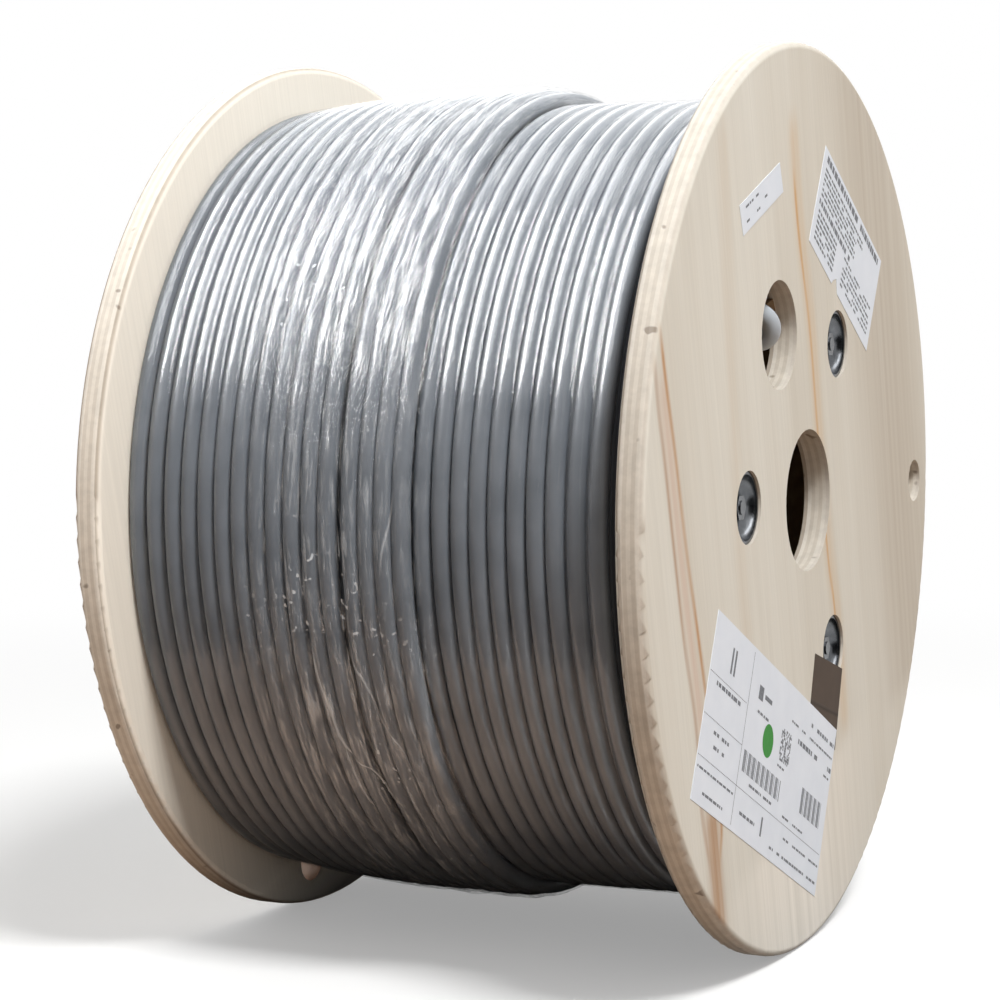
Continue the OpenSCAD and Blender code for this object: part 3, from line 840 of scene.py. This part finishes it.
# A warm card on the floor close to the drum, seen only in reflections, browns the lower
# front; it fades toward the drum, so that the underside falls into shade
warm_finish, tree, shader = new_finish("warm_floor_card")
place, _, tint = mottled(tree, 12.0, 2.0, "#AE9582", "#BCA492")
axes = add_node(tree, "ShaderNodeSeparateXYZ", {0: place.outputs["Object"]})
level = add_node(tree, "ShaderNodeMapRange", {
    "Value": axes.outputs["Y"], "From Min": -0.165, "From Max": -0.085,
    "To Min": 2.3, "To Max": 0.0})
glow = add_node(tree, "ShaderNodeEmission", {
    "Color": tint.outputs[0], "Strength": level.outputs[0]})
tree.links.new(glow.outputs[0], tree.nodes["Material Output"].inputs["Surface"])
bpy.ops.mesh.primitive_plane_add(size=1, location=(-0.4, -0.0575, 0.0015))
card = bpy.context.object
card.name = "warm_card"
bpy.ops.object.mode_set(mode="EDIT")
bpy.ops.transform.resize(value=(1.0, 0.515, 1), center_override=(-0.4, -0.0575, 0.0015))
bpy.ops.object.mode_set(mode="OBJECT")
bpy.ops.object.transform_apply(location=True, rotation=True, scale=True)
wear(card, warm_finish)
show_in_gloss(card)
bpy.ops.object.select_all(action="DESELECT")

world = bpy.data.worlds.new("studio_surround")
bpy.context.scene.world = world
world.use_nodes = True
tree = world.node_tree
way = add_node(tree, "ShaderNodeTexCoord")
way = add_node(tree, "ShaderNodeSeparateXYZ", {0: way.outputs["Generated"]})
glow = add_node(tree, "ShaderNodeMapRange", {
    "Value": way.outputs["Z"], "From Min": 0.0, "From Max": 1.0, "To Min": 0.6, "To Max": 0.55})
lit = add_node(tree, "ShaderNodeBackground", {"Color": (1, 1, 1, 1), "Strength": glow.outputs[0]})
white = add_node(tree, "ShaderNodeBackground", {"Color": (1, 1, 1, 1), "Strength": 1.0})
backdrop = add_node(tree, "ShaderNodeMixShader", {
    0: shown_rays(tree), 1: lit.outputs[0], 2: white.outputs[0]})
tree.links.new(backdrop.outputs[0], tree.nodes["World Output"].inputs["Surface"])

# One key box lights the drum; its glint shows on the steel alone, and the sheen cards
# show only in the gloss of cable, film and steel
steel_pieces = bpy.data.collections.new("steel_pieces")
for name in steel_names:
    steel_pieces.objects.link(nodes[name])
for name, spot, aim, along, wide, tall, level in (
        ("key_box", (1.25, -1.0, 2.38), (0, 0, 0.2), (0, 1, 0), 0.6, 0.6, 62.0),
        ("steel_glint", (1.25, -1.0, 2.38), (0, 0, 0.2), (0, 1, 0), 0.5, 0.5, 30.0),
        ("sheen_front", (-0.92, -0.85, 1.75), (0, -0.14, 0.3), (0, 0.88, 0.47), 0.75, 1.9, 27.0),
        ("sheen_back", (-0.86, 1.05, 1.65), (0, -0.05, 0.38), (0, 0.74, -0.67), 0.75, 2.2, 2.5),
        ("sheen_sky", (-0.7, -1.3, 2.3), (0, -0.15, 0.25), (0, 0.8, 0.5), 4.0, 2.1, 7.0),
        ("sheen_top", (-0.2, 0.3, 2.7), (0, 0, 0.3), (0, 1, 0), 3.0, 1.4, 5.6),
        ("sheen_far", (-0.3, 1.7, 2.1), (0, 0, 0.3), (0, 0.8, -0.5), 3.0, 1.8, 1.6)):
    lamp = bpy.data.lights.new(name, "AREA")
    lamp.shape = "RECTANGLE"
    lamp.size, lamp.size_y = wide, tall
    lamp.energy = level * math.pi * wide * tall
    holder = bpy.data.objects.new(name, lamp)
    bpy.context.collection.objects.link(holder)
    holder.visible_camera = False
    holder.visible_diffuse = name == "key_box"
    holder.visible_glossy = name != "key_box"
    if name == "steel_glint":
        holder.light_linking.receiver_collection = steel_pieces
    back = (Vector(spot) - Vector(aim)).normalized()
    side = Vector(along).cross(back).normalized()
    facing = Matrix((side, back.cross(side), back)).transposed()
    holder.matrix_world = Matrix.Translation(spot) @ facing.to_4x4()

camera = bpy.data.objects.new("camera", bpy.data.cameras.new("camera"))
bpy.context.collection.objects.link(camera)
FOCAL_PIXELS, PHOTO_PIXELS, SENSOR = 2453.4, 1000, 36.0
camera.data.sensor_width = SENSOR
camera.data.lens = FOCAL_PIXELS / PHOTO_PIXELS * SENSOR
camera.data.clip_end = 100.0
camera.location = (0.4573, -1.0416, 0.2690)
camera.rotation_euler = (math.radians(90 - 3.637), 0, math.radians(24.827))
bpy.context.scene.camera = camera
bpy.context.scene.view_settings.view_transform = "Standard"
